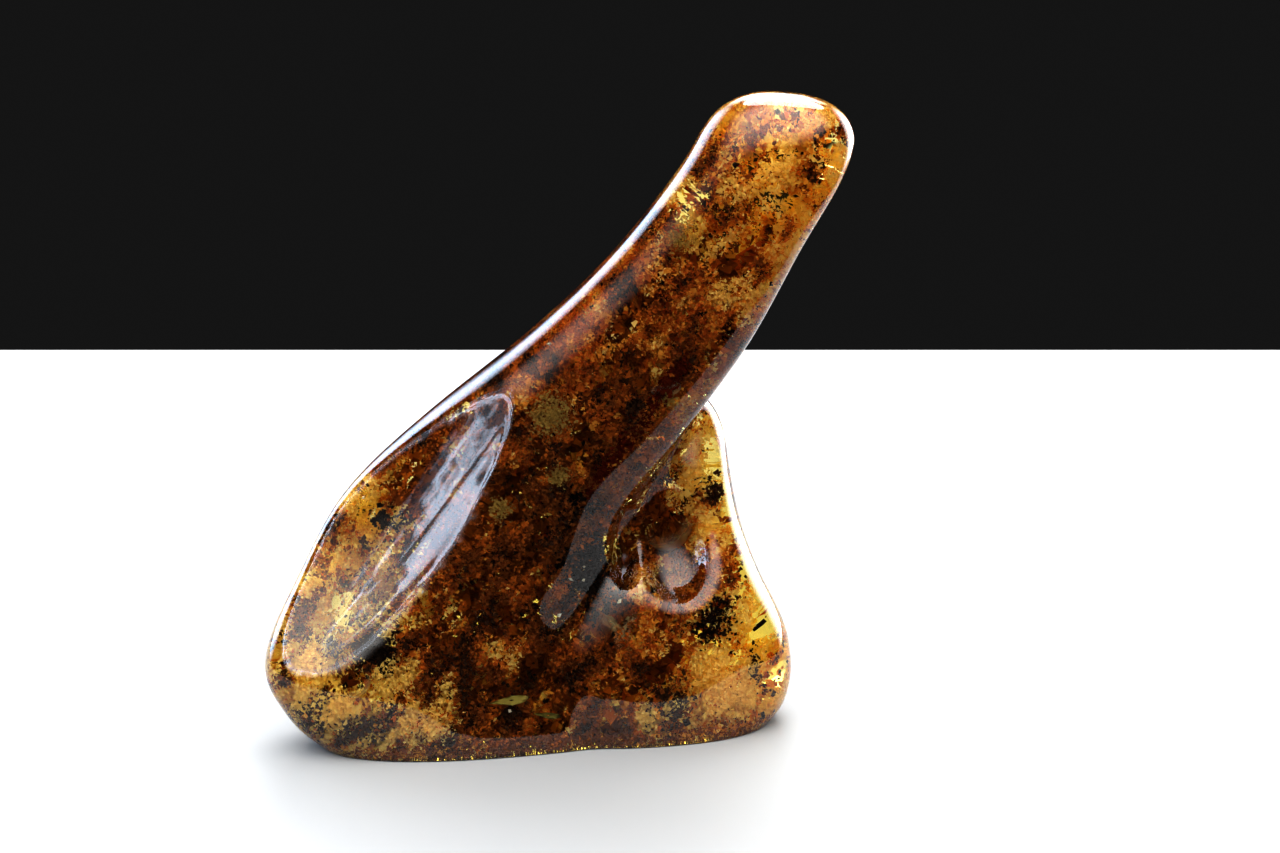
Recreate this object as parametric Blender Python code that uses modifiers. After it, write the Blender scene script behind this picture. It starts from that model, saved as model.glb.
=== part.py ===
"""Polished free-form amber: one solid lump that stands on a ground-flat base, with a blunt finger leaning to
the right, a fin set behind it, and a long hollow down its left flank.

Run it with blender --background --python part.py, or from the text editor. Metres, +Z up. The origin is on the
resting surface, under the middle of the lump's box. +X is towards the side the finger leans to, -Y is the front.
"""

import math

import bmesh
import bpy
from mathutils import Matrix, Vector

MM = 0.001

# Driving sizes
RING_POINTS = 48  # points round one cross-section
RINGS_BETWEEN = 6  # cross-sections worked out from one station to the next
VOXEL = 0.75 * MM  # the clay that the lofts are melted into
MELT_ROUNDS = 10  # how long the creases and rims are rubbed down
POLISH_ROUNDS = 7  # the same for the hollows
TOOL_SEGMENTS = 48  # round a hollow's tool
KEPT_SHARE = 0.13  # of the even skin's triangles
TABLE_SIDE, TABLE_HEIGHT = 120 * MM, 20 * MM  # what the base is ground flat on
AMBER_COLOUR = (0.42, 0.17, 0.035, 1)
AMBER_ROUGHNESS = 0.06
AMBER_IOR = 1.54

TO_MIDDLE = Vector((0.17, -2.78, 0)) * MM  # brings the middle of the lump's box over the origin

# Sizes from here on are in mm. A station is a cross-section of a lobe:
# centre x, y, z, lean of its normal from upright towards +X in degrees, turn about that normal in degrees,
# then how far it reaches left, right, front and back of its centre, and how square it is (2 is an ellipse)
FINGER_STATIONS = (
    (29.2, 1.6, 78.8, 10, 0, 0.6, 0.6, 0.6, 0.6, 2.0),
    (28.8, 1.6, 78.1, 10, 0, 5.2, 4.6, 4.6, 4.6, 2.2),
    (28.2, 1.6, 75.8, 14, 0, 8.2, 7.6, 6.8, 6.8, 2.3),
    (26.2, 1.5, 72.0, 22, 0, 9.1, 8.6, 7.6, 8.0, 2.5),
    (21.9, 1.2, 65.0, 30, 0, 8.9, 8.7, 7.6, 8.4, 2.9),
    (14.6, 0.6, 54.2, 31, 0, 9.9, 9.9, 7.6, 9.2, 3.1),
    (5.8, 0.2, 44.0, 31, 2, 11.2, 11.2, 7.8, 10.0, 3.1),
    (-3.5, 0.0, 33.3, 30, 6, 14.0, 13.2, 8.3, 11.0, 2.7),
    (-8.3, -0.4, 23.4, 24, 10, 19.2, 17.0, 9.0, 12.0, 2.3),
    (-9.9, -0.8, 15.8, 14, 13, 22.6, 20.0, 9.0, 12.6, 2.3),
    (-10.3, -1.2, 8.6, 5, 15, 26.2, 24.0, 9.4, 13.2, 2.3),
    (-10.0, -1.2, 4.6, 0, 15, 24.2, 25.0, 9.8, 13.0, 2.3),
    (-9.4, -1.0, 1.0, 0, 15, 21.6, 25.0, 10.3, 12.4, 2.3),
    (-9.2, -1.0, -3.5, 0, 15, 15.0, 25.0, 10.6, 10.0, 2.2),
)
FIN_STATIONS = (
    (14.6, 8.5, 41.8, 0, 0, 0.6, 0.6, 0.6, 0.6, 2.0),
    (14.2, 8.5, 40.8, 0, 0, 5.0, 3.4, 3.6, 4.0, 2.2),
    (13.4, 8.5, 37.0, 0, 0, 8.5, 6.6, 6.2, 6.8, 2.3),
    (12.4, 8.0, 30.0, 0, 4, 11.0, 8.8, 8.4, 9.0, 2.4),
    (11.8, 7.6, 24.5, 0, 8, 12.6, 10.6, 9.8, 10.4, 2.4),
    (11.3, 7.2, 18.8, 0, 12, 15.6, 13.2, 11.8, 11.4, 2.5),
    (10.8, 6.4, 12.0, 0, 15, 19.4, 17.0, 12.0, 12.0, 2.7),
    (10.5, 5.8, 7.0, 0, 15, 19.4, 18.2, 12.0, 12.4, 2.7),
    (10.5, 5.6, 3.8, 0, 15, 19.0, 17.9, 12.1, 12.0, 2.55),
    (10.5, 5.6, 1.0, 0, 15, 17.8, 16.6, 12.2, 11.0, 2.4),
    (10.5, 5.6, -3.5, 0, 15, 12.0, 11.0, 12.2, 8.0, 2.2),
)

# A hollow is what a round tool leaves: the place on the skin, the way the skin faces there, the way the hollow runs,
# the tool's half length, half width and half thickness, and how deep it goes in
FIN_HOLLOWS = {
    "fin_dish": ((13.0, -0.6, 31.5), (0.0, -0.97, 0.2), (0.16, 0.2, -0.96), 13.5, 7, 8, 1.9),
}
HOLLOWS = {
    "long_hollow": ((-14.0, -9.7, 32.4), (-0.44, -0.86, 0.26), (-0.60, -0.02, -0.8), 34, 17, 12, 3.1),
    "crease_pit": ((8.0, -1.6, 24.2), (0.15, -0.98, 0.1), (-0.05, -0.1, -1), 5.5, 2.0, 3.0, 1.6),
    "crease_hole": ((8.0, -2.2, 21.2), (0.1, -0.98, 0.1), (0, -0.1, -1), 1.4, 1.2, 2.0, 1.8),
}


def clear_scene():
    for obj in list(bpy.data.objects):
        bpy.data.objects.remove(obj, do_unlink=True)


def through(values, share):
    """A smooth curve through four numbers, from the second to the third as share goes from 0 to 1."""
    a, b, c, d = values
    rise, fall = (c - a) / 2, (d - b) / 2
    cube, square = share**3, share**2
    return (
        (2 * cube - 3 * square + 1) * b
        + (cube - 2 * square + share) * rise
        + (3 * square - 2 * cube) * c
        + (cube - square) * fall
    )


def stations_between(stations, steps):
    """The stations with steps - 1 more worked out smoothly between each two."""
    padded = (stations[0], *stations, stations[-1])
    for i in range(len(stations) - 1):
        for step in range(steps):
            yield [through(values, step / steps) for values in zip(*padded[i : i + 4])]
    yield list(stations[-1])


def cross_section(station):
    """The points of one station's ring, in metres."""
    x, y, z, lean, turn, left, right, front, back, squareness = station
    placed = (
        Matrix.Translation(TO_MIDDLE + Vector((x, y, z)) * MM)
        @ Matrix.Rotation(math.radians(lean), 4, "Y")
        @ Matrix.Rotation(math.radians(turn), 4, "Z")
    )
    points = []
    for i in range(RING_POINTS):
        angle = 2 * math.pi * i / RING_POINTS
        c, s = math.cos(angle), math.sin(angle)
        reach_x = right if c > 0 else left
        reach_y = back if s > 0 else front
        u = math.copysign(abs(c) ** (2 / squareness), c) * reach_x
        v = math.copysign(abs(s) ** (2 / squareness), s) * reach_y
        points.append(placed @ Vector((u * MM, v * MM, 0)))
    return points


def loft(name, stations):
    """One closed lobe: a skin through unlike cross-sections, with a flat lid at each end."""
    shape = bmesh.new()
    rings = [
        [shape.verts.new(p) for p in cross_section(s)]
        for s in stations_between(stations, RINGS_BETWEEN)
    ]
    for upper, lower in zip(rings, rings[1:]):
        for i in range(RING_POINTS):
            j = (i + 1) % RING_POINTS
            shape.faces.new((upper[i], lower[i], lower[j], upper[j]))
    shape.faces.new(rings[0])
    shape.faces.new(rings[-1])
    bmesh.ops.recalc_face_normals(shape, faces=shape.faces)
    mesh = bpy.data.meshes.new(name)
    shape.to_mesh(mesh)
    shape.free()
    return bpy.data.objects.new(name, mesh)


def new_collection(name):
    collection = bpy.data.collections.new(name)
    bpy.context.scene.collection.children.link(collection)
    return collection


def amber_material():
    material = bpy.data.materials.new("amber")
    material.use_nodes = True
    shader = material.node_tree.nodes["Principled BSDF"]
    shader.inputs["Base Color"].default_value = AMBER_COLOUR
    shader.inputs["Roughness"].default_value = AMBER_ROUGHNESS
    shader.inputs["IOR"].default_value = AMBER_IOR
    shader.inputs["Transmission Weight"].default_value = 1
    return material


def block(name, size, centre):
    shape = bmesh.new()
    placed = Matrix.Translation(centre) @ Matrix.Diagonal((*size, 1))
    bmesh.ops.create_cube(shape, size=1, matrix=placed)
    mesh = bpy.data.meshes.new(name)
    shape.to_mesh(mesh)
    shape.free()
    return bpy.data.objects.new(name, mesh)


def round_tool(name, place, facing, along, half_length, half_width, half_thickness, depth):
    """An ellipsoid that reaches depth below the skin at place."""
    run = Vector(along).normalized()
    out = Vector(facing)
    out = (out - run * out.dot(run)).normalized()
    side = out.cross(run)
    centre = Vector(place) + out * (half_thickness - depth)
    turned = Matrix((side, out, run)).transposed().to_4x4()
    size = Matrix.Diagonal((half_width * MM, half_thickness * MM, half_length * MM, 1))
    shape = bmesh.new()
    bmesh.ops.create_uvsphere(
        shape,
        u_segments=TOOL_SEGMENTS,
        v_segments=TOOL_SEGMENTS // 2,
        radius=1,
        matrix=Matrix.Translation(TO_MIDDLE + centre * MM) @ turned @ size,
    )
    mesh = bpy.data.meshes.new(name)
    shape.to_mesh(mesh)
    shape.free()
    return bpy.data.objects.new(name, mesh)


def boolean(target, tool, operation, name):
    cut = target.modifiers.new(name, "BOOLEAN")
    cut.operation = operation
    cut.solver = "EXACT"
    cut.object = tool


def hollow_out(target, hollows, cutters):
    for name, hollow in hollows.items():
        tool = round_tool(name, *hollow)
        cutters.objects.link(tool)
        boolean(target, tool, "DIFFERENCE", name)


def melt(target, name, rounds):
    """One even skin over what is there, with its creases and rims rubbed down."""
    clay = target.modifiers.new(name, "REMESH")
    clay.mode = "VOXEL"
    clay.voxel_size = VOXEL
    rub = target.modifiers.new(name + "_rub", "SMOOTH")
    rub.factor = 0.5
    rub.iterations = rounds


def main():
    clear_scene()
    collection = new_collection("amber")
    cutters = new_collection("amber_cutters")
    cutters.hide_render = True

    amber = loft("amber", FINGER_STATIONS)
    collection.objects.link(amber)
    amber.data.materials.append(amber_material())
    fin = loft("fin_lobe", FIN_STATIONS)
    cutters.objects.link(fin)
    hollow_out(fin, FIN_HOLLOWS, cutters)
    boolean(amber, fin, "UNION", "join_fin")

    melt(amber, "clay", MELT_ROUNDS)

    hollow_out(amber, HOLLOWS, cutters)
    melt(amber, "polish", POLISH_ROUNDS)

    thin = amber.modifiers.new("thin_out", "DECIMATE")
    thin.ratio = KEPT_SHARE
    table = block("table", (TABLE_SIDE, TABLE_SIDE, TABLE_HEIGHT), (0, 0, -TABLE_HEIGHT / 2))
    cutters.objects.link(table)
    boolean(amber, table, "DIFFERENCE", "grind_base_flat")
    for tool in cutters.objects:
        tool.display_type = "WIRE"


main()
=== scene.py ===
import math

import bmesh
import bpy
import numpy as np
from mathutils import Matrix, Vector, noise
from mathutils.bvhtree import BVHTree


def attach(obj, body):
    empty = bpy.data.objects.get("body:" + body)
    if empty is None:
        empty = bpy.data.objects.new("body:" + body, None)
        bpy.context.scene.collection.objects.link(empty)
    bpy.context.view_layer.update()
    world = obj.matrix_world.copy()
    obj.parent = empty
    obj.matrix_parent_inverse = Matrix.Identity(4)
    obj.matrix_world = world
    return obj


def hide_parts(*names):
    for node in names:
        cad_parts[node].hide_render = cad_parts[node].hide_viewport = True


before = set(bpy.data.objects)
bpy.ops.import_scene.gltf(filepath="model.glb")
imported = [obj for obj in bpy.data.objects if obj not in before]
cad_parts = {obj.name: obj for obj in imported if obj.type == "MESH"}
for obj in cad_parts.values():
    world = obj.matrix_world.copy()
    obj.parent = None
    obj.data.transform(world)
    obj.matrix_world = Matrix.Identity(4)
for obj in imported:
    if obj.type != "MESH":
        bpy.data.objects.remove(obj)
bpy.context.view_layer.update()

# %% [markdown]
# Amber is fossil resin. This piece was ground flat underneath, then rubbed and polished all over, so that
# it has no facet and no sharp edge. It stands by itself and leans one blunt finger to the right. Light
# goes in, meets a dense dust of forest litter, and comes out gold or brown. So the lesson makes two
# things: one smooth clear skin, and all that floats under it.
#
# Lengths are in metres. MM turns the millimetres that a lump like this is measured in into them.

# %% Units and helpers
MM = 0.001
scene = bpy.context.scene
rng = np.random.default_rng(11)


def link(name, mesh):
    obj = bpy.data.objects.new(name, mesh)
    scene.collection.objects.link(obj)
    return obj


def to_mesh(name, shape):
    mesh = bpy.data.meshes.new(name)
    shape.to_mesh(mesh)
    shape.free()
    return mesh


# %% [markdown]
# The photograph was taken from a little above, with a long lens, because the finger doesn't grow towards
# the top. A camera can be aimed with a Track To constraint. A quaternion made from the viewing direction
# does the same with nothing left live in the scene.

# %% Camera
LENS, SENSOR = 100, 36
ELEVATION = math.radians(12)
AIM = Vector((9.97, -2.78, 38.5)) * MM
DISTANCE = 431.6 * MM

camera = bpy.data.objects.new("camera", bpy.data.cameras.new("camera"))
scene.collection.objects.link(camera)
camera.data.lens, camera.data.sensor_width = LENS, SENSOR
camera.data.clip_start, camera.data.clip_end = 0.01, 20
away = Vector((0, -math.cos(ELEVATION), math.sin(ELEVATION)))
camera.location = AIM + away * DISTANCE
camera.rotation_mode = "QUATERNION"
camera.rotation_quaternion = (-away).to_track_quat("-Z", "Y")
scene.camera = camera
print("camera at", [round(c, 3) for c in camera.location])

# %% [markdown]
# The lump reads as two lobes that have flowed together: the finger, whose foot is most of the base, and a
# low fin behind it on the right. Each lobe could be pulled from a ball with sculpting brushes, but then
# its size would be nowhere in the file. Here each is a stack of stations, like the ribs of a boat. A
# station is a place, a lean and a turn, four reaches and a squareness, and the ribs in between follow a
# smooth curve through them.

# %% Stations of the two lobes
TO_MIDDLE = Vector((0.17, -2.78, 0)) * MM  # brings the middle of the lump's box over the origin
RIB_POINTS, RIBS_BETWEEN = 48, 6

# centre x, y, z, lean to +X, turn, reach left, right, front and back, squareness; millimetres and degrees
FINGER_STATIONS = (
    (29.2, 1.6, 78.8, 10, 0, 0.6, 0.6, 0.6, 0.6, 2.0),
    (28.8, 1.6, 78.1, 10, 0, 5.2, 4.6, 4.6, 4.6, 2.2),
    (28.2, 1.6, 75.8, 14, 0, 8.2, 7.6, 6.8, 6.8, 2.3),
    (26.2, 1.5, 72.0, 22, 0, 9.1, 8.6, 7.6, 8.0, 2.5),
    (21.9, 1.2, 65.0, 30, 0, 8.9, 8.7, 7.6, 8.4, 2.9),
    (14.6, 0.6, 54.2, 31, 0, 9.9, 9.9, 7.6, 9.2, 3.1),
    (5.8, 0.2, 44.0, 31, 2, 11.2, 11.2, 7.8, 10.0, 3.1),
    (-3.5, 0.0, 33.3, 30, 6, 14.0, 13.2, 8.3, 11.0, 2.7),
    (-8.3, -0.4, 23.4, 24, 10, 19.2, 17.0, 9.0, 12.0, 2.3),
    (-9.9, -0.8, 15.8, 14, 13, 22.6, 20.0, 9.0, 12.6, 2.3),
    (-10.3, -1.2, 8.6, 5, 15, 26.2, 24.0, 9.4, 13.2, 2.3),
    (-10.0, -1.2, 4.6, 0, 15, 24.2, 25.0, 9.8, 13.0, 2.3),
    (-9.4, -1.0, 1.0, 0, 15, 21.6, 25.0, 10.3, 12.4, 2.3),
    (-9.2, -1.0, -3.5, 0, 15, 15.0, 25.0, 10.6, 10.0, 2.2),
)
FIN_STATIONS = (
    (14.6, 8.5, 41.8, 0, 0, 0.6, 0.6, 0.6, 0.6, 2.0),
    (14.2, 8.5, 40.8, 0, 0, 5.0, 3.4, 3.6, 4.0, 2.2),
    (13.4, 8.5, 37.0, 0, 0, 8.5, 6.6, 6.2, 6.8, 2.3),
    (12.4, 8.0, 30.0, 0, 4, 11.0, 8.8, 8.4, 9.0, 2.4),
    (11.8, 7.6, 24.5, 0, 8, 12.6, 10.6, 9.8, 10.4, 2.4),
    (11.3, 7.2, 18.8, 0, 12, 15.6, 13.2, 11.8, 11.4, 2.5),
    (10.8, 6.4, 12.0, 0, 15, 19.4, 17.0, 12.0, 12.0, 2.7),
    (10.5, 5.8, 7.0, 0, 15, 19.4, 18.2, 12.0, 12.4, 2.7),
    (10.5, 5.6, 3.8, 0, 15, 19.0, 17.9, 12.1, 12.0, 2.55),
    (10.5, 5.6, 1.0, 0, 15, 17.8, 16.6, 12.2, 11.0, 2.4),
    (10.5, 5.6, -3.5, 0, 15, 12.0, 11.0, 12.2, 8.0, 2.2),
)


def through(values, share):
    """A smooth curve through four numbers, from the second to the third as share goes from 0 to 1."""
    a, b, c, d = values
    rise, fall = (c - a) / 2, (d - b) / 2
    cube, square = share**3, share**2
    start, end = 2 * cube - 3 * square + 1, 3 * square - 2 * cube
    return start * b + (cube - 2 * square + share) * rise + end * c + (cube - square) * fall


def stations_between(stations, steps):
    padded = (stations[0], *stations, stations[-1])
    for i in range(len(stations) - 1):
        for step in range(steps):
            yield [through(values, step / steps) for values in zip(*padded[i : i + 4])]
    yield list(stations[-1])


print("finger", len(FINGER_STATIONS), "stations, fin", len(FIN_STATIONS), "stations")

# %% [markdown]
# Each rib starts as a circle from the circle tool and is pulled to its station's reaches, then leaned,
# turned and put in place. The bridge tool makes the skin from one rib to the next.

# %% Ribs and lobes
def rib(shape, station):
    x, y, z, lean, turn, left, right, front, back, squareness = station
    made = bmesh.ops.create_circle(shape, segments=RIB_POINTS, radius=1)["verts"]
    for v in made:
        c, s = v.co.x, v.co.y
        reach_x, reach_y = right if c > 0 else left, back if s > 0 else front
        v.co.x = math.copysign(abs(c) ** (2 / squareness), c) * reach_x * MM
        v.co.y = math.copysign(abs(s) ** (2 / squareness), s) * reach_y * MM
    placed = (
        Matrix.Translation(TO_MIDDLE + Vector((x, y, z)) * MM)
        @ Matrix.Rotation(math.radians(lean), 4, "Y")
        @ Matrix.Rotation(math.radians(turn), 4, "Z")
    )
    bmesh.ops.transform(shape, matrix=placed, verts=made)
    return list({e for v in made for e in v.link_edges})


def lobe(name, stations):
    shape = bmesh.new()
    ribs = [rib(shape, s) for s in stations_between(stations, RIBS_BETWEEN)]
    for upper, lower in zip(ribs, ribs[1:]):
        bmesh.ops.bridge_loops(shape, edges=upper + lower)
    for end in (ribs[0], ribs[-1]):
        bmesh.ops.contextual_create(shape, geom=end)
    bmesh.ops.recalc_face_normals(shape, faces=shape.faces)
    print(name, len(ribs), "ribs,", len(shape.faces), "faces")
    return link(name, to_mesh(name, shape))


finger, fin = lobe("finger", FINGER_STATIONS), lobe("fin", FIN_STATIONS)

# %% [markdown]
# The grinder left hollows: a long one down the left flank, a shallow dish on the fin, and a pit with a
# small hole where the finger's edge meets the fin. On the real piece a wheel or a rasp made them. Here a
# stretched ball does, set so that it goes a stated depth below the skin.

# %% Hollows
# place on the skin, the way the skin faces, the way the hollow runs, half length, half width, half
# thickness, depth
FIN_HOLLOWS = {
    "fin_dish": ((13.0, -0.6, 31.5), (0.0, -0.97, 0.2), (0.16, 0.2, -0.96), 13.5, 7, 8, 1.9),
}
HOLLOWS = {
    "long_hollow": ((-14.0, -9.7, 32.4), (-0.44, -0.86, 0.26), (-0.60, -0.02, -0.8), 34, 17, 12, 3.1),
    "crease_pit": ((8.0, -1.6, 24.2), (0.15, -0.98, 0.1), (-0.05, -0.1, -1), 5.5, 2.0, 3.0, 1.6),
    "crease_hole": ((8.0, -2.2, 21.2), (0.1, -0.98, 0.1), (0, -0.1, -1), 1.4, 1.2, 2.0, 1.8),
}
TOOL_SEGMENTS = 64


def round_tool(name, place, facing, along, half_length, half_width, half_thickness, depth):
    run = Vector(along).normalized()
    out = Vector(facing)
    out = (out - run * out.dot(run)).normalized()
    side = out.cross(run)
    centre = Vector(place) + out * (half_thickness - depth)
    turned = Matrix((side, out, run)).transposed().to_4x4()
    size = Matrix.Diagonal((half_width * MM, half_thickness * MM, half_length * MM, 1))
    placed = Matrix.Translation(TO_MIDDLE + centre * MM) @ turned @ size
    shape = bmesh.new()
    bmesh.ops.create_uvsphere(
        shape, u_segments=TOOL_SEGMENTS, v_segments=TOOL_SEGMENTS // 2, radius=1, matrix=placed
    )
    return link(name, to_mesh(name, shape))


def boolean(target, tool, operation):
    cut = target.modifiers.new(tool.name, "BOOLEAN")
    cut.operation = operation
    cut.solver = "EXACT"
    cut.object = tool


def hollow_out(target, hollows):
    made = [round_tool(name, *hollow) for name, hollow in hollows.items()]
    for tool in made:
        boolean(target, tool, "DIFFERENCE")
    return made


print(len(FIN_HOLLOWS), "hollow in the fin,", len(HOLLOWS), "in the joined lump")

# %% [markdown]
# Polishing runs every seam into a soft curve. A Bevel can't follow a seam as irregular as the one between
# the lobes. So the Remesh modifier turns the lump into even clay, and the Smooth modifier rubs it down,
# once after the lobes are joined and once more, for less long, after the hollows are cut, so that their
# rims stay crisper. The number of rounds follows from the size of the clay's cells, because one round
# reaches only to a point's neighbours.

# %% Join, hollow out and rub down
CELL = 0.45 * MM
JOIN_RUB, RIM_RUB = 5.6 * MM**2, 3.4 * MM**2


def melt(target, rub_area):
    clay = target.modifiers.new("clay", "REMESH")
    clay.mode = "VOXEL"
    clay.voxel_size = CELL
    rub = target.modifiers.new("rub", "SMOOTH")
    rub.factor = 0.5
    rub.iterations = round(rub_area / CELL**2)


tools = [fin, *hollow_out(fin, FIN_HOLLOWS)]
boolean(finger, fin, "UNION")
melt(finger, JOIN_RUB)
tools += hollow_out(finger, HOLLOWS)
melt(finger, RIM_RUB)
print("clay cells of", round(CELL / MM, 2), "mm")

# %% [markdown]
# The base is ground flat. The bisect tool cuts the rubbed shape at the resting surface and drops what is
# below it, and one flat face closes the cut.

# %% Grind the base
def smooth(shape):
    for face in shape.faces:
        face.smooth = True


shape = bmesh.new()
shape.from_mesh(finger.evaluated_get(bpy.context.evaluated_depsgraph_get()).to_mesh())
everything = shape.verts[:] + shape.edges[:] + shape.faces[:]
bmesh.ops.bisect_plane(shape, geom=everything, plane_co=(0, 0, 0), plane_no=(0, 0, 1), clear_inner=True)
smooth(shape)
bmesh.ops.contextual_create(shape, geom=[e for e in shape.edges if e.is_boundary])
skin = link("amber_skin", to_mesh("amber_skin", shape))
for tool in (finger, *tools):
    bpy.data.objects.remove(tool, do_unlink=True)
print("skin", len(skin.data.polygons), "faces")

# %% [markdown]
# Clear resin bends light by 1.54 and takes the blue out of it first, then the green. So 5 mm of it looks
# pale yellow and 25 mm looks orange. The shader carries the bend and the polish, and a Volume Absorption
# node carries the colour, because paint on the skin would be as strong at a thin edge as over the thick
# middle.

# %% Clear resin
RESIN_BEND = 1.54
RESIN_COLOUR, RESIN_DEPTH = (0.97, 0.83, 0.04), 110
RESIN_POLISH = 0.01
RESIN_SHINE = 0.12  # less than the true 0.5, because a sky of soft patches veils more than a real sky does


def principled(name, **values):
    """A material with the named inputs of its Principled shader set."""
    material = bpy.data.materials.new(name)
    material.use_nodes = True
    shader = material.node_tree.nodes["Principled BSDF"]
    for key, value in values.items():
        shader.inputs[key.replace("_", " ")].default_value = value
    return material


resin = principled(
    "clear_resin",
    Base_Color=(1, 1, 1, 1),
    Transmission_Weight=1,
    IOR=RESIN_BEND,
    Roughness=RESIN_POLISH,
    Specular_IOR_Level=RESIN_SHINE,
)
nodes, links = resin.node_tree.nodes, resin.node_tree.links
absorb = nodes.new("ShaderNodeVolumeAbsorption")
absorb.inputs["Color"].default_value = (*RESIN_COLOUR, 1)
absorb.inputs["Density"].default_value = RESIN_DEPTH
links.new(absorb.outputs["Volume"], nodes["Material Output"].inputs["Volume"])
skin.data.materials.append(resin)
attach(skin, "root")
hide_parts("amber")
print("resin bends light by", RESIN_BEND, "and has a depth of colour of", RESIN_DEPTH)

# %% [markdown]
# The litter is dust, crumbs and flakes of bark, leaf and frass, most of them between a tenth and half a
# millimetre from middle to tip. Nothing of it touches the skin. Instances would be lighter, but they are
# lost when the model is exported, so each kind is one joined mesh made from arrays: a folded flake of two
# triangles for dust, and a crumb of eight for what is big enough to have a back.
#
# First, points are spread evenly under the skin and pushed inwards along its normal.

# %% Points under the skin
LOWEST = 0.06 * MM  # above the ground base
skin.data.calc_loop_triangles()


def read(items, name, width, kind=float):
    values = np.empty(len(items) * width, kind)
    items.foreach_get(name, values)
    return values.reshape(-1, width)


tri_points = read(skin.data.loop_triangles, "vertices", 3, int)
skin_points = read(skin.data.vertices, "co", 3)
skin_normals = read(skin.data.vertices, "normal", 3)
tri_a, tri_b, tri_c = (skin_points[tri_points[:, i]] for i in range(3))
tri_areas = np.linalg.norm(np.cross(tri_b - tri_a, tri_c - tri_a), axis=1) / 2
print("skin area", round(tri_areas.sum() * 1e4), "cm2")


def under_the_skin(count, depths):
    """Evenly spread points, each at its depth, less those that land in the base."""
    pick = rng.choice(len(tri_areas), count, p=tri_areas / tri_areas.sum())
    u, v = rng.random((2, count))
    u, v = np.where(u + v > 1, (1 - u, 1 - v), (u, v))
    shares = np.stack([1 - u - v, u, v], axis=1)[:, :, None]
    at = (skin_points[tri_points[pick]] * shares).sum(axis=1)
    out = (skin_normals[tri_points[pick]] * shares).sum(axis=1)
    out /= np.linalg.norm(out, axis=1)[:, None]
    at = at - out * depths[:, None]
    return at[at[:, 2] > LOWEST]


# %% [markdown]
# Litter comes in clouds. Fractal noise says where a cloud is thick and what it is made of: its low end is
# gold dust, then come rust and brown, and its high end is the nearly black crumbs. The clouds are drawn
# out along the finger, the way the resin ran. Zones then say how much of each kind a part of the lump
# holds: the finger's tip is mostly gold, the middle is dark, the lower left is gold with dark blotches,
# and the right flank is nearly clear. The gold at the tip and at the lower right is partly painted light:
# from above on the tip, and from behind through the clear resin at the lower right.

# %% Clouds and zones
FLOW_LEAN = math.radians(30)
FLOW_STRETCH, DEPTH_STRETCH = 0.62, 0.4  # a cloud is longer along the finger, and longest from front to back
CLOUD_ROUGHNESS, CLOUD_STEP, CLOUD_OCTAVES = 0.7, 2.1, 6
CLOUD_SHIFT = (17.3, 5.1, 9.7)  # moves each seed to a part of the noise of its own


def clouds(at, size, seed):
    """Fractal noise from 0 to 1, spread evenly, with lumps of about that size in millimetres."""
    shift = Vector([seed * step for step in CLOUD_SHIFT])
    flow = Matrix.Diagonal((1, DEPTH_STRETCH, FLOW_STRETCH)) @ Matrix.Rotation(-FLOW_LEAN, 3, "Y")
    turned = at / (size * MM) @ np.array(flow).T
    found = [noise.fractal(Vector(p) + shift, CLOUD_ROUGHNESS, CLOUD_STEP, CLOUD_OCTAVES) for p in turned]
    order = np.empty(len(found))
    order[np.argsort(found)] = np.linspace(0, 1, len(found))
    return order


# x, z and reach in millimetres, then the shares of gold, amber, rust and brown (the rest is dark), and
# the crowd
ZONES = (
    # the finger's tip: gold dust, partly painted light from above
    (29, 75, 4, 0.56, 0.20, 0.06, 0.14, 0.9),
    (24, 69, 7, 0.62, 0.16, 0.06, 0.12, 0.9),
    (31, 70, 4, 0.62, 0.26, 0.04, 0.06, 0.9),
    (20, 61, 6, 0.40, 0.28, 0.14, 0.14, 1.0),
    (13, 53, 7, 0.10, 0.32, 0.36, 0.16, 1.0),
    (4, 43, 8, 0.00, 0.16, 0.44, 0.29, 1.0),
    (10, 38, 5, 0.00, 0.06, 0.42, 0.42, 1.0),
    (-3, 28, 9, 0.00, 0.03, 0.30, 0.57, 1.0),
    (3, 17, 9, 0.00, 0.02, 0.26, 0.60, 1.0),
    (-13, 33, 6, 0.06, 0.12, 0.34, 0.36, 0.9),
    (-24, 24, 6, 0.60, 0.10, 0.06, 0.12, 0.8),
    (-30, 13, 7, 0.60, 0.06, 0.04, 0.18, 0.9),
    (-20, 5, 7, 0.54, 0.06, 0.04, 0.22, 1.0),
    (-12, 12, 6, 0.12, 0.12, 0.26, 0.32, 1.0),
    (-3, 4, 6, 0.03, 0.14, 0.36, 0.36, 1.0),
    (16, 32, 4.5, 0.66, 0.18, 0.04, 0.02, 0.8),
    (13, 22, 5, 0.14, 0.32, 0.28, 0.16, 0.9),
    (12, 12, 6, 0.12, 0.36, 0.28, 0.14, 0.9),
    # the lower right: gold dust, partly a painted glow of light from behind through the clear resin
    (19, 7, 6, 0.78, 0.14, 0.03, 0.02, 0.55),
    (26, 10, 4, 0.66, 0.24, 0.04, 0.02, 0.20),
)
# Right of this line nearly nothing floats in the resin: heights, and the line's place along X at each.
# Behind CLEAR_BACK the line moves left by CLEAR_SLANT of each step back, because the flank is seen right
# through.
CLEAR_HEIGHTS = (6, 12, 17, 24, 30, 35, 42)
CLEAR_FROM = (30, 25.6, 22.1, 20.3, 19.1, 18.3, 17.3)
CLEAR_BACK, CLEAR_SLANT = 2, 0.9
CLEAR_CROWD = 0.02
LEAST_WEIGHT = 1e-9  # far from every zone a point gets the plain average of them all


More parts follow.
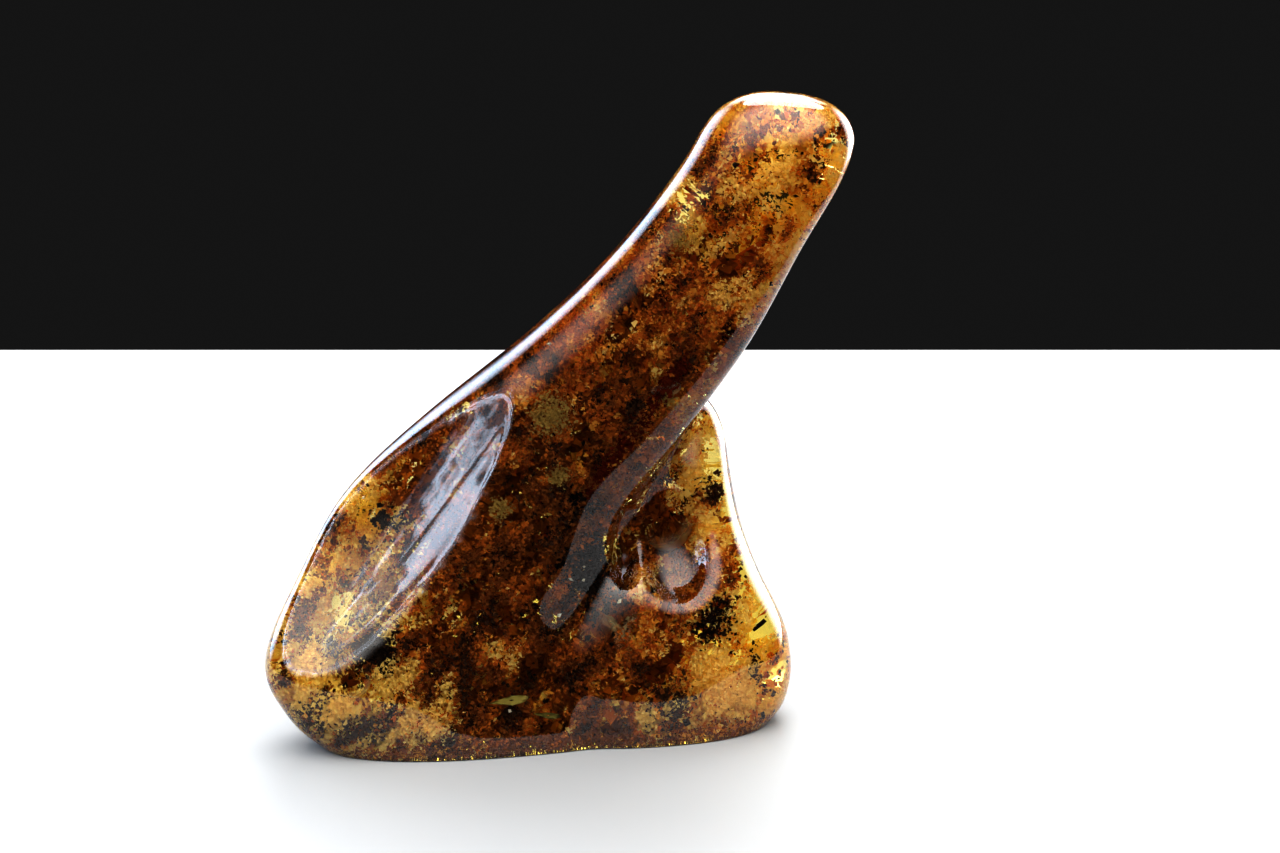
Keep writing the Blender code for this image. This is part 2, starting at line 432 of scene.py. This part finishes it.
def zone_shares(at):
    """The shares of the four kinds at each point, and how crowded it is there."""
    x, y, z = at.T / MM
    total, values = np.zeros(len(at)), np.zeros((len(at), len(ZONES[0]) - 3))
    for zone_x, zone_z, reach, *shares in ZONES:
        weight = np.exp(-((x - zone_x) ** 2 + (z - zone_z) ** 2) / reach**2) + LEAST_WEIGHT
        total += weight
        values += weight[:, None] * np.array(shares)
    *shares, crowd = (values / total[:, None]).T
    line = np.interp(z, CLEAR_HEIGHTS, CLEAR_FROM) - CLEAR_SLANT * np.maximum(0, y - CLEAR_BACK)
    clear = (x > line) & (z < CLEAR_HEIGHTS[-1])
    return shares, np.where(clear, CLEAR_CROWD, crowd)


print(len(ZONES), "zones")

# %% [markdown]
# Each flake and crumb is turned its own way and stretched its own way. The turn comes from splitting a
# random matrix, which is the quickest way to a fair random rotation for a whole array at once. A bit that
# broke through the polish would look like dirt, so each is made no larger than the room it has. A BVH tree
# of the skin measures that room.

# %% Flakes and crumbs
FLAKE = np.array([(1, 0, 0.25), (0, 1, -0.25), (-1, 0, 0.25), (0, -1, -0.25)])
FLAKE_FACES = np.array([(0, 1, 2), (0, 2, 3)])
CRUMB = np.array([(1, 0, 0), (-1, 0, 0), (0, 1, 0), (0, -1, 0), (0, 0, 1), (0, 0, -1)])
CRUMB_FACES = np.array([(a, b, c) for a in (0, 1) for b in (2, 3) for c in (4, 5)])
CRUMB_FACES[[1, 2, 4, 7]] = CRUMB_FACES[[1, 2, 4, 7], ::-1]  # so that all eight face outwards
STRETCH, WOBBLE, LEAST_ROOM = (0.55, 1.45), (0.7, 1.3), 0.05 * MM
SIZE_SPREAD = 0.35
skin_tree = BVHTree.FromObject(skin, bpy.context.evaluated_depsgraph_get())


def room(at):
    """How far each point is under the skin, less than nothing for a point outside."""
    found = np.empty(len(at))
    for i, point in enumerate(at.tolist()):
        place, out, _, distance = skin_tree.find_nearest(point)
        found[i] = math.copysign(distance, out.dot(place - Vector(point)))
    return found


def sizes_about(middle, count):
    """Reaches of bits in metres, most of them near the middle one, which is in millimetres."""
    return rng.lognormal(math.log(middle), SIZE_SPREAD, count) * MM


def seal_in(piece):
    """Whatever lies in the resin moves with the lump."""
    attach(piece, "root")


def litter(name, at, reach, material, form=FLAKE, faces=FLAKE_FACES):
    """One joined mesh with a copy of form round each point that has room for one."""
    space = room(at)
    at, reach, space = (values[space > LEAST_ROOM] for values in (at, reach, space))
    reach = np.minimum(reach, space / (STRETCH[1] * WOBBLE[1]))
    count, corners = len(at), len(form)
    turn = np.linalg.qr(rng.normal(size=(count, 3, 3)))[0]
    stretch = rng.uniform(*STRETCH, (count, 1, 3)) * rng.uniform(*WOBBLE, (count, corners, 1))
    placed = (form[None] * stretch * reach[:, None, None]) @ turn + at[:, None, :]
    every_face = faces[None] + (np.arange(count) * corners)[:, None, None]
    mesh = bpy.data.meshes.new(name)
    mesh.from_pydata(placed.reshape(-1, 3), [], every_face.reshape(-1, 3).tolist())
    mesh.materials.append(material)
    seal_in(link(name, mesh))
    print(name, count, "bits,", len(mesh.polygons), "triangles")


# %% [markdown]
# Litter that is wetted all round by resin has no shine of its own, so the shine is switched off. Bits this
# thin also let light through, and that is why a cloud of them glows against the sun. A Translucent shader
# mixed into the plain one does that. From gold to black the mix falls, because bark crumbs are thick.

# %% Litter colours
LITTER = {  # colour, and how much of the light goes through
    "gold_dust": ((0.99, 0.80, 0.28), 0.45),
    "amber_dust": ((0.88, 0.45, 0.070), 0.4),
    "rust_dust": ((0.64, 0.19, 0.024), 0.4),
    "brown_dust": ((0.30, 0.088, 0.018), 0.3),
    "dark_dust": ((0.050, 0.019, 0.009), 0.0),
    "bark_crumbs": ((0.016, 0.008, 0.005), 0.0),
    "pale_crumbs": ((0.80, 0.76, 0.66), 0.2),
    "tan_flecks": ((0.50, 0.33, 0.085), 0.3),
    "red_seam": ((0.20, 0.020, 0.004), 0.5),
}


def litter_finish(name, colour, passed):
    material = principled(name, Base_Color=(*colour, 1), Roughness=1.0, Specular_IOR_Level=0.0)
    nodes, links = material.node_tree.nodes, material.node_tree.links
    glow = nodes.new("ShaderNodeBsdfTranslucent")
    both = nodes.new("ShaderNodeMixShader")
    glow.inputs["Color"].default_value = (*colour, 1)
    both.inputs["Fac"].default_value = passed
    links.new(nodes["Principled BSDF"].outputs["BSDF"], both.inputs[1])
    links.new(glow.outputs["BSDF"], both.inputs[2])
    links.new(both.outputs["Shader"], nodes["Material Output"].inputs["Surface"])
    return material


matt = {name: litter_finish(name, *finish) for name, finish in LITTER.items()}
print(len(matt), "finishes for litter")

# %% [markdown]
# Some things in the litter show, because no dust lies before them. Each has a window, which is a round
# tube along the line of sight, from the skin in front to just behind the thing, that the dust is kept out
# of.

# %% Windows in the dust
# x, y and z of the thing and the window's radius, in millimetres
WINDOWS = (
    (-0.7, -10.1, 41.6, 2.6),
    (0.2, -10.1, 34.0, 1.1),
    (-6.7, -11.0, 30.2, 1.3),
    (13.3, -8.8, 43.2, 0.8),
    (14.7, -8.1, 62.8, 1.9),
    (-5.6, -12.0, 6.7, 2.9),
    (-1.2, -10.6, 4.4, 1.9),
    (5.5, -8.6, 13.8, 2.8),
    (-23.8, -14.7, 9.4, 1.7),
    (-24.0, -10.8, 16.2, 2.9),
    (13.0, -8.4, 44.4, 1.6),
    (13.5, 0.9, 24.5, 3.0),
    (4.2, -6.6, 21.4, 2.6),
    (-21.7, -13.4, 13.3, 1.6),
    (19.6, -5.2, 7.2, 2.4),
)
WINDOW_DEPTH = 0.7


def in_a_window(at):
    points = at / MM
    sight = np.array((0, math.cos(ELEVATION), -math.sin(ELEVATION)))
    hidden = np.zeros(len(points), bool)
    for *thing, radius in WINDOWS:
        offset = points - np.array(thing)
        behind = offset @ sight
        aside = np.linalg.norm(offset - behind[:, None] * sight, axis=1)
        hidden |= (aside < radius) & (behind < WINDOW_DEPTH)
    return hidden


print(len(WINDOWS), "windows")

# %% [markdown]
# The dust is the most of the litter, and it is thickest just under the skin, where the eye meets it first.
# Two cloud patterns work on it. One says which kind a flake is, by where its value falls among the zone's
# shares. The other is set against the crowd and says whether there is a flake at all. A little chance is
# added to both, so that a cloud has a ragged edge.

# %% Dust
DUST = ("gold_dust", "amber_dust", "rust_dust", "brown_dust", "dark_dust")
SHARE_TRIED = 1
DUST_TRIED, DUST_DEPTHS, TOWARDS_THE_SKIN = round(SHARE_TRIED * 420000), (0.25, 6.5), 1.5
KIND_SIZE, KIND_CHANCE = 2.8, 0.04
CROWD_SIZE, CROWD_CHANCE, CROWD_FULL = 3.5, 0.12, 0.55
DUST_REACH, DUST_SPREAD, DUST_REACHES = 0.22, 0.38, (0.09, 0.6)
BEYOND = 9.0  # past every share
shallowest, deepest = DUST_DEPTHS
depths = (shallowest + (deepest - shallowest) * rng.random(DUST_TRIED) ** TOWARDS_THE_SKIN) * MM
at = under_the_skin(DUST_TRIED, depths)
shares, crowd = zone_shares(at)
uppers = [*np.cumsum(shares, axis=0), BEYOND]
kind = clouds(at, KIND_SIZE, 1) + rng.normal(0, KIND_CHANCE, len(at))
there = clouds(at, CROWD_SIZE, 2) + rng.normal(0, CROWD_CHANCE, len(at)) < crowd * CROWD_FULL
there &= ~in_a_window(at)
reach = np.clip(rng.lognormal(math.log(DUST_REACH), DUST_SPREAD, len(at)), *DUST_REACHES) * MM
lower = np.full(len(at), -BEYOND)
for name, upper in zip(DUST, uppers):
    picked = there & (kind >= lower) & (kind < upper)
    litter(name, at[picked], reach[picked], matt[name])
    lower = upper

# %% [markdown]
# The resin just above the ground base holds a layer of silt. Without it the white table would shine
# through the lowest millimetre of the front as a glaring line.

# %% Silt above the base
SILT_TRIED, SILT_TOP, SILT_DEPTHS = round(SHARE_TRIED * 120000), 1.6, (0.07, 1.5)
PALE_SILT_REACH, SILT_REACH = 0.24, 0.28


def just_above_the_base(tried, depths, top):
    at = under_the_skin(tried, rng.uniform(*depths, tried) * MM)
    return at[at[:, 2] < top * MM]


at = just_above_the_base(SILT_TRIED, SILT_DEPTHS, SILT_TOP)
golden = rng.random(len(at)) < zone_shares(at)[0][0]
litter("pale_silt", at[golden], sizes_about(PALE_SILT_REACH, golden.sum()), matt["amber_dust"])
litter("silt", at[~golden], sizes_about(SILT_REACH, (~golden).sum()), matt["brown_dust"])

# %% [markdown]
# Deeper in, between the dust of the front and the dust of the back, a few broad brown flakes hang. Without
# them the sky behind shows through the gaps in both layers as glaring yellow dots. The clear flank and the
# pale ends have none.

# %% Broad flakes deep inside
BROAD_TRIED, BROAD_DEPTHS, BROAD_REACH = round(SHARE_TRIED * 16000), (4.5, 11.0), 0.75
MOST_GOLD, GOLD_CHANCE, LEAST_CROWD, RED_SHARE = 0.30, 0.1, 0.3, 0.45
at = under_the_skin(BROAD_TRIED, rng.uniform(*BROAD_DEPTHS, BROAD_TRIED) * MM)
shares, crowd = zone_shares(at)
dark_here = shares[0] + rng.normal(0, GOLD_CHANCE, len(at)) < MOST_GOLD
at = at[dark_here & (crowd > LEAST_CROWD) & ~in_a_window(at)]
reach = sizes_about(BROAD_REACH, len(at))
red = rng.random(len(at)) < RED_SHARE
litter("deep_rust", at[red], reach[red], matt["rust_dust"])
litter("deep_brown", at[~red], reach[~red], matt["brown_dust"])

# %% [markdown]
# Some of what the photograph shows has a place of its own: black lumps of bark, clouds of gold and of dark
# dust near the foot, rust along the finger's right edge, and round straw-coloured flecks just under the
# polish. Each is a small cloud of bits, thrown round a point with a bell curve. The two clouds of gold at
# the lower right are partly a painted glow of light from behind.

# %% Clouds that have a place
# the middle of a cloud, how far it spreads, both in millimetres, and how many bits
BARK_CLOUDS = (
    ((4.2, -6.9, 21.4), (2.1, 0.5, 2.2), 1500),
    ((-21.7, -13.6, 13.3), (1.2, 0.5, 1.4), 520),
    ((19.0, -4.6, 14.8), (1.4, 0.8, 1.4), 380),
    ((2.8, -8.0, 30.4), (1.2, 0.7, 0.9), 220),
    ((-20.0, -6.0, 27.5), (1.2, 0.6, 0.8), 160),
)
FLECKS = (
    ((-0.7, -10.1, 41.6), (1.25, 0.15, 1.25), 900),
    ((0.2, -10.1, 34.0), (0.55, 0.12, 0.55), 240),
    ((-6.7, -11.0, 30.2), (0.7, 0.12, 0.7), 240),
    ((13.3, -8.8, 43.2), (0.4, 0.12, 0.4), 130),
    ((14.7, -8.1, 62.8), (0.9, 0.15, 1.1), 300),
)
GOLD_CLOUDS = (
    # these two, at the lower right, are partly a painted glow of light from behind through the clear resin
    ((19.6, -5.6, 7.2), (1.7, 0.5, 2.2), 1500),
    ((22.6, -4.4, 5.0), (1.2, 0.5, 1.0), 420),
    ((-29.0, -12.2, 10.5), (1.5, 0.5, 2.2), 900),
    ((-25.0, -13.6, 6.0), (1.8, 0.5, 1.3), 900),
    ((-15.5, -14.4, 4.6), (1.7, 0.5, 1.1), 700),
    ((16.2, 0.4, 33.0), (1.0, 0.5, 2.4), 700),
)
RUST_CLOUDS = (
    ((19.0, -3.0, 46.4), (1.2, 1.6, 1.4), 900),
    ((16.0, -3.5, 41.0), (0.8, 1.2, 0.8), 350),
    ((14.6, -3.5, 38.0), (0.7, 1.2, 0.8), 350),
    ((9.6, -3.5, 30.8), (0.8, 1.2, 1.2), 350),
    ((6.2, -3.5, 26.4), (0.8, 1.2, 1.4), 450),
)
DARK_CLOUDS = (
    ((-29.2, -11.9, 5.0), (1.2, 0.5, 0.9), 380),
    ((-23.4, -13.9, 4.0), (1.3, 0.5, 0.8), 380),
    ((-27.0, -13.0, 14.5), (0.8, 0.5, 1.2), 240),
    ((24.6, -4.0, 9.0), (0.6, 0.5, 1.5), 220),
    ((13.2, -7.0, 5.0), (1.4, 0.5, 1.0), 380),
)


BITS = {  # how far a bit reaches from its middle, in millimetres, and its finish
    "bark_crumbs": (0.22, "bark_crumbs"),
    "gold_clouds": (0.24, "gold_dust"),
    "tan_flecks": (0.17, "tan_flecks"),
    "red_seam": (0.20, "red_seam"),
    "pale_crumbs": (0.27, "pale_crumbs"),
    "rust_clouds": (0.34, "rust_dust"),
    "dark_clouds": (0.26, "dark_dust"),
    "foot_silt": (0.26, "brown_dust"),
}


def thrown(clouds_of_bits):
    return np.concatenate([rng.normal(middle, spread, (n, 3)) for middle, spread, n in clouds_of_bits]) * MM


def scatter(name, at, *form):
    middle_reach, finish = BITS[name]
    litter(name, at, sizes_about(middle_reach, len(at)), matt[finish], *form)


print(len(BARK_CLOUDS), "lumps of bark and", len(GOLD_CLOUDS), "clouds of gold")

# %% [markdown]
# Bark and gold come first. Not all bark lies in lumps. Single crumbs of it come from points under the
# skin, as the dust does.

# %% Bark, gold and flecks
BARK_STRAYS, BARK_STRAY_DEPTHS = 900, (0.6, 3.0)
at = thrown(BARK_CLOUDS)
strays = under_the_skin(BARK_STRAYS, rng.uniform(*BARK_STRAY_DEPTHS, BARK_STRAYS) * MM)
scatter("bark_crumbs", np.concatenate([at, strays]), CRUMB, CRUMB_FACES)
scatter("gold_clouds", thrown(GOLD_CLOUDS))
scatter("tan_flecks", thrown(FLECKS))

# %% [markdown]
# A dark red band runs down the finger. It is a line of bits from its top to its foot, each put a little off
# the line by chance.

# %% Red seam
SEAM_TOP, SEAM_FOOT = np.array((15.2, -8.4, 47.6)), np.array((3.4, -8.6, 31.2))
SEAM_BITS, SEAM_SPREAD = 3200, 0.42
run = rng.uniform(0, 1, (SEAM_BITS, 1))
at = (SEAM_TOP * run + SEAM_FOOT * (1 - run) + rng.normal(0, SEAM_SPREAD, (SEAM_BITS, 3))) * MM
scatter("red_seam", at)

# %% [markdown]
# White specks lie beside the big lump of bark, and a few more anywhere. Then come the rust and the dark
# dust. Last, a thin brown layer goes right under the polish at the foot, nearer to it than the silt above,
# because light creeps in along the very edge of the base.

# %% Specks, rust, dark dust and the foot
SPECKS = ((3.1, -8.1, 22.4), (1.5, -8.8, 21.0), (3.0, -7.9, 20.7), (7.4, -6.9, 17.6), (-9.5, -11.6, 17.0))
SPECK_STRAYS, SPECK_STRAY_DEPTHS = 12, (0.4, 1.0)
FOOT_TRIED, FOOT_TOP, FOOT_DEPTHS = round(SHARE_TRIED * 60000), 1.7, (0.06, 0.9)
strays = under_the_skin(SPECK_STRAYS, rng.uniform(*SPECK_STRAY_DEPTHS, SPECK_STRAYS) * MM)
scatter("pale_crumbs", np.concatenate([np.array(SPECKS) * MM, strays]), CRUMB, CRUMB_FACES)
scatter("rust_clouds", thrown(RUST_CLOUDS))
scatter("dark_clouds", thrown(DARK_CLOUDS))
scatter("foot_silt", just_above_the_base(FOOT_TRIED, FOOT_DEPTHS, FOOT_TOP))

# %% [markdown]
# Two scraps of leaf lie near the base. A scrap is a round from the circle tool, drawn out to a tail at one
# end and curled. Solidify would give it a back, but it is thinner than paper, so one sheet is enough.

# %% Leaf scraps
# the middle in millimetres, half length, half width, the angle of its tail and how dark it is (painted
# shade)
SCRAPS = (((-5.6, -12.0, 6.7), 2.1, 0.62, -8, 1.0), ((-1.2, -10.6, 4.4), 1.5, 0.4, 6, 0.45))
SCRAP_COLOUR, SCRAP_GLOW = (0.50, 0.42, 0.11), 0.4
SCRAP_POINTS, SCRAP_LOOPS, LOOP_SHRINK = 28, 4, (0.6, 0.6, 1)
TAIL_STRETCH, TAIL_PINCH, CURL, DROOP = 1.35, 0.35, 0.35, 0.5


def move_into_place(shape, middle, turned, size):
    """Sizes and a place in millimetres, the turn as a 4x4 matrix."""
    placed = Matrix.Translation(Vector(middle) * MM) @ turned @ Matrix.Diagonal((*(s * MM for s in size), 1))
    bmesh.ops.transform(shape, matrix=placed, verts=shape.verts)


for number, (middle, half_length, half_width, angle, share) in enumerate(SCRAPS, 1):
    shape = bmesh.new()
    bmesh.ops.create_circle(shape, segments=SCRAP_POINTS, radius=1)
    for _ in range(SCRAP_LOOPS):
        loops = [e for e in shape.edges if e.is_boundary or e.is_wire]
        made = bmesh.ops.extrude_edge_only(shape, edges=loops)["geom"]
        inner = [v for v in made if isinstance(v, bmesh.types.BMVert)]
        bmesh.ops.scale(shape, vec=LOOP_SHRINK, verts=inner)
    for v in shape.verts:
        tail = max(0.0, -v.co.x)
        v.co.x *= 1 + (TAIL_STRETCH - 1) * tail
        v.co.y *= 1 - (1 - TAIL_PINCH) * tail
        v.co.z = CURL * (v.co.y**2 - DROOP * v.co.x**2)
    upright = Matrix.Rotation(math.radians(angle), 4, "Y") @ Matrix.Rotation(math.radians(90), 4, "X")
    move_into_place(shape, middle, upright, (half_length, half_width, half_width))
    smooth(shape)
    scrap = link(f"leaf_scrap_{number}", to_mesh("leaf_scrap", shape))
    # the second scrap is the same colour darkened: a shaded copy, painted shade
    scrap.data.materials.append(litter_finish(scrap.name, [c * share for c in SCRAP_COLOUR], SCRAP_GLOW))
    seal_in(scrap)
    print(scrap.name, len(scrap.data.polygons), "faces")

# %% [markdown]
# Amber that has been warmed or knocked has round cracks in it, thin as a breath and domed like a watch
# glass. One sees a crack only where it is steep to the eye, so it shows as a bright crescent. That glint is
# painted here: a pale colour whose Alpha follows how steep the crack is, which Layer Weight finds.

# %% Painted glint of a crack
# the pale colour is a painted glint, standing for what the crack mirrors
PAINTED_GLINT_COLOUR, GLINT_POLISH = (0.96, 0.84, 0.62), 0.22
SPANGLE_SHOWS, SPANGLE_ALPHA = (0.25, 0.85), 0.9
glint = principled("crack_painted_glint", Base_Color=(*PAINTED_GLINT_COLOUR, 1), Roughness=GLINT_POLISH, Metallic=0.0)
nodes, links = glint.node_tree.nodes, glint.node_tree.links
steep, shown = nodes.new("ShaderNodeLayerWeight"), nodes.new("ShaderNodeMapRange")
steep.inputs["Blend"].default_value = 0.5
shown.inputs["From Min"].default_value, shown.inputs["From Max"].default_value = SPANGLE_SHOWS
shown.inputs["To Max"].default_value = SPANGLE_ALPHA
links.new(steep.outputs["Facing"], shown.inputs["Value"])
links.new(shown.outputs["Result"], nodes["Principled BSDF"].inputs["Alpha"])
print("a crack shows from", *SPANGLE_SHOWS, "of the way to edge-on")

# %% [markdown]
# A profile spun round makes the dome. A crack stops short of the polish, so each is pushed in until it has
# room.

# %% Spangles
# the middle and the way it faces, then its radius and the height of its dome, in millimetres
SPANGLES = (
    ((5.5, -8.6, 13.8), (0.55, -0.7, 0.5), 3.0, 0.9),
    ((-23.8, -14.7, 9.4), (0.5, -0.75, -0.3), 1.7, 0.5),
    ((-24.0, -10.8, 16.2), (0.45, -0.7, 0.6), 3.1, 0.8),
    ((6.6, -6.0, 19.0), (-0.5, -0.7, 0.5), 2.0, 0.6),
    ((9.6, -7.8, 14.5), (-0.55, -0.7, 0.4), 2.1, 0.6),
    ((13.0, -8.4, 44.4), (0.2, -0.6, -0.75), 1.8, 0.4),
    ((13.5, 0.9, 24.5), (0.3, -0.8, -0.5), 3.6, 0.9),
    ((-9.0, 6.5, 14.0), (0.4, 0.8, 0.4), 2.4, 0.7),
)
DOME_POINTS, DOME_STEPS, DOUBLES = 6, 40, 1e-4
CRACK_ROOM, CRACK_PUSHES = 0.25 * MM, 5
for number, (middle, facing, radius, dome) in enumerate(SPANGLES, 1):
    shape = bmesh.new()
    outs = [k / DOME_POINTS for k in range(DOME_POINTS + 1)]
    profile = [shape.verts.new((out, 0, 1 - out**2)) for out in outs]
    geom = profile + [shape.edges.new(pair) for pair in zip(profile, profile[1:])]
    round_z = {"cent": (0, 0, 0), "axis": (0, 0, 1), "angle": math.tau}
    bmesh.ops.spin(shape, geom=geom, steps=DOME_STEPS, use_merge=True, **round_z)
    bmesh.ops.remove_doubles(shape, verts=shape.verts, dist=DOUBLES)
    turned = Vector(facing).to_track_quat("Z", "Y").to_matrix().to_4x4()
    move_into_place(shape, middle, turned, (radius, radius, dome))
    for _ in range(CRACK_PUSHES):
        spaces = room(np.array([v.co for v in shape.verts]))
        tightest = shape.verts[:][int(spaces.argmin())].co
        inwards = -skin_tree.find_nearest(tightest)[1] * max(0.0, CRACK_ROOM - spaces.min())
        bmesh.ops.translate(shape, vec=inwards, verts=shape.verts)
    bmesh.ops.recalc_face_normals(shape, faces=shape.faces)
    smooth(shape)
    crack = link(f"spangle_{number}", to_mesh("spangle", shape))
    crack.data.materials.append(glint)
    seal_in(crack)
    least = room(np.array([v.co for v in crack.data.vertices])).min()
    print(crack.name, "has", round(least / MM, 2), "mm of room")

# %% [markdown]
# The floor is a plain pale table top. It lies a tenth of a millimetre below the base, because two faces at
# the same height would flicker. Its far edge is where the table ends in the photograph. Its near edge and
# its sides are just outside the view, because a polished front mirrors what lies before it, and a wide
# white floor there would veil the colour. So it widens towards the back, as the view does.

# %% Floor
FLOOR_NEAR_WIDTH, FLOOR_FAR_WIDTH, FLOOR_FRONT, FLOOR_BACK = 0.20, 0.36, -0.054, 0.25
FLOOR_DROP, FLOOR_COLOUR = 0.1 * MM, (0.25, 0.255, 0.26)
shape = bmesh.new()
sides = Matrix.Diagonal((FLOOR_NEAR_WIDTH, FLOOR_BACK - FLOOR_FRONT, 1, 1))
placed = Matrix.Translation((0, (FLOOR_BACK + FLOOR_FRONT) / 2, -FLOOR_DROP)) @ sides
bmesh.ops.create_grid(shape, x_segments=1, y_segments=1, size=0.5, matrix=placed)
far = [v for v in shape.verts if v.co.y > 0]
bmesh.ops.scale(shape, vec=(FLOOR_FAR_WIDTH / FLOOR_NEAR_WIDTH, 1, 1), verts=far)
floor = link("floor", to_mesh("floor", shape))
floor.data.materials.append(principled("floor_white", Base_Color=(*FLOOR_COLOUR, 1), Roughness=0.6))
print("floor from", FLOOR_FRONT, "to", FLOOR_BACK)

# %% [markdown]
# A polished clear thing is lit by what it mirrors. A studio lamp has hard edges, and they would show in
# the polish as white bars. So most of the light is soft patches of sky, painted on the world by the angle
# between its direction and the patch's own: a broad one high in front, and small ones low behind, which
# show as pale lines along the edges. Nothing low in front is bright, where the faces have to stay deep in
# colour.

# %% Sky
SKY = {  # where the patch is, its full and its outer angle in degrees, brightness and colour
    "overhead": ((0.0, 0.10, 1.0), 10, 45, 1.0, (0.94, 0.97, 1.0)),
    "front_high": ((0.05, -0.42, 0.90), 25, 58, 5.6, (1.0, 0.98, 0.95)),
    "back_left": ((-0.62, 0.74, 0.20), 8, 28, 7.0, (0.66, 0.80, 1.0)),
    "back_right": ((0.64, 0.76, 0.06), 8, 28, 8.0, (0.96, 0.98, 1.0)),
    "back_high": ((0.0, 0.90, 0.43), 4, 18, 6.0, (0.96, 0.98, 1.0)),
}
NIGHT = 0.016
world = bpy.data.worlds.new("studio")
scene.world = world
world.use_nodes = True
nodes, links = world.node_tree.nodes, world.node_tree.links
nodes["Background"].inputs["Color"].default_value = (NIGHT, NIGHT, NIGHT, 1)
coords = nodes.new("ShaderNodeTexCoord")
total = nodes["Background"].outputs["Background"]
for name, (towards, full, outer, brightness, colour) in SKY.items():
    near = nodes.new("ShaderNodeVectorMath")
    near.operation = "DOT_PRODUCT"
    near.inputs[1].default_value = Vector(towards).normalized()
    fade = nodes.new("ShaderNodeMapRange")
    fade.interpolation_type = "SMOOTHSTEP"
    fade.inputs["From Min"].default_value = math.cos(math.radians(outer))
    fade.inputs["From Max"].default_value = math.cos(math.radians(full))
    fade.inputs["To Max"].default_value = brightness
    patch, both = nodes.new("ShaderNodeBackground"), nodes.new("ShaderNodeAddShader")
    patch.inputs["Color"].default_value = (*colour, 1)
    links.new(coords.outputs["Generated"], near.inputs[0])
    links.new(near.outputs["Value"], fade.inputs["Value"])
    links.new(fade.outputs["Result"], patch.inputs["Strength"])
    links.new(total, both.inputs[0])
    links.new(patch.outputs["Background"], both.inputs[1])
    total = both.outputs["Shader"]
links.new(total, nodes["World Output"].inputs["Surface"])
print(len(SKY), "patches of sky")

# %% [markdown]
# One soft round lamp behind and above shines through the litter and lights the floor.

# %% Lamp behind
LAMP_PLACE, LAMP_AIM = Vector((0.05, 0.24, 0.36)), Vector((0, 0.02, 0.02))
LAMP_WIDTH, LAMP_POWER = 0.3, 2.0


def place_lamp(lamp, place, aim):
    obj = bpy.data.objects.new(lamp.name, lamp)
    obj.location = place
    obj.rotation_mode = "QUATERNION"
    obj.rotation_quaternion = (aim - place).to_track_quat("-Z", "Y")
    scene.collection.objects.link(obj)
    print(lamp.name, round((aim - place).length / MM), "mm away from where it aims")


lamp = bpy.data.lights.new("back_lamp", "AREA")
lamp.shape, lamp.size, lamp.energy = "DISK", LAMP_WIDTH, LAMP_POWER
place_lamp(lamp, LAMP_PLACE, LAMP_AIM)

# %% [markdown]
# The long hollow mirrors a pale, cloudy sky low on the left. A patch of the world is endlessly far, so the
# finger would mirror it too. A round soft lamp close by, left of the picture, is mirrored by the hollow
# alone. Noise over the lamp's face makes the clouds, and its light fades out towards the rim.

# %% Cloudy lamp
CLOUDY_PLACE, CLOUDY_AIM = Vector((-0.096, -0.073, 0.066)), Vector((-0.015, -0.010, 0.030))
CLOUDY_WIDTH, CLOUDY_HEIGHT, CLOUDY_POWER, CLOUDY_COLOUR = 0.075, 0.095, 0.26, (0.70, 0.82, 1.0)
LAMP_MIDDLE, LAMP_RIM, FULL_LIGHT = (0.5, 0.5, 0), 0.5, 0.25  # on a face that runs from 0 to 1 both ways
CLOUD_SCALE, CLOUD_DETAIL, CLOUD_SWIRL = 5, 5, 1.2
THIN_CLOUD, THICK_CLOUD, THROUGH_THICK = 0.60, 0.46, 0.12
cloudy_lamp = bpy.data.lights.new("cloudy_lamp", "AREA")
cloudy_lamp.shape, cloudy_lamp.energy = "ELLIPSE", CLOUDY_POWER
cloudy_lamp.size, cloudy_lamp.size_y = CLOUDY_WIDTH, CLOUDY_HEIGHT
cloudy_lamp.color = CLOUDY_COLOUR
cloudy_lamp.use_nodes = True
nodes, links = cloudy_lamp.node_tree.nodes, cloudy_lamp.node_tree.links
face, from_middle = nodes.new("ShaderNodeNewGeometry"), nodes.new("ShaderNodeVectorMath")
fade, broken = nodes.new("ShaderNodeMapRange"), nodes.new("ShaderNodeMapRange")
cloudy, times = nodes.new("ShaderNodeTexNoise"), nodes.new("ShaderNodeMath")
from_middle.operation, times.operation = "DISTANCE", "MULTIPLY"
from_middle.inputs[1].default_value = LAMP_MIDDLE
fade.interpolation_type = "SMOOTHSTEP"
fade.inputs["From Min"].default_value, fade.inputs["From Max"].default_value = LAMP_RIM, FULL_LIGHT
cloudy.inputs["Scale"].default_value, cloudy.inputs["Detail"].default_value = CLOUD_SCALE, CLOUD_DETAIL
cloudy.inputs["Distortion"].default_value = CLOUD_SWIRL
broken.inputs["From Min"].default_value, broken.inputs["From Max"].default_value = THICK_CLOUD, THIN_CLOUD
broken.inputs["To Min"].default_value = THROUGH_THICK
links.new(face.outputs["Parametric"], from_middle.inputs[0])
links.new(face.outputs["Parametric"], cloudy.inputs["Vector"])
links.new(from_middle.outputs["Value"], fade.inputs["Value"])
links.new(cloudy.outputs["Fac"], broken.inputs["Value"])
links.new(fade.outputs["Result"], times.inputs[0])
links.new(broken.outputs["Result"], times.inputs[1])
links.new(times.outputs["Value"], nodes["Emission"].inputs["Strength"])
place_lamp(cloudy_lamp, CLOUDY_PLACE, CLOUDY_AIM)

# %% [markdown]
# The picture is shown plainly, with a little more contrast than the eye would see, as the photograph has.
# Light that wanders between flakes needs more bounces than a room does.

# %% Picture
scene.view_settings.view_transform = "Standard"
scene.view_settings.gamma = 0.8
scene.view_settings.exposure = 0.0
scene.cycles.max_bounces = 16
scene.cycles.diffuse_bounces = 6
scene.cycles.glossy_bounces = 10
scene.cycles.transmission_bounces = 16
print("shown with", scene.view_settings.view_transform, "and gamma", round(scene.view_settings.gamma, 2))
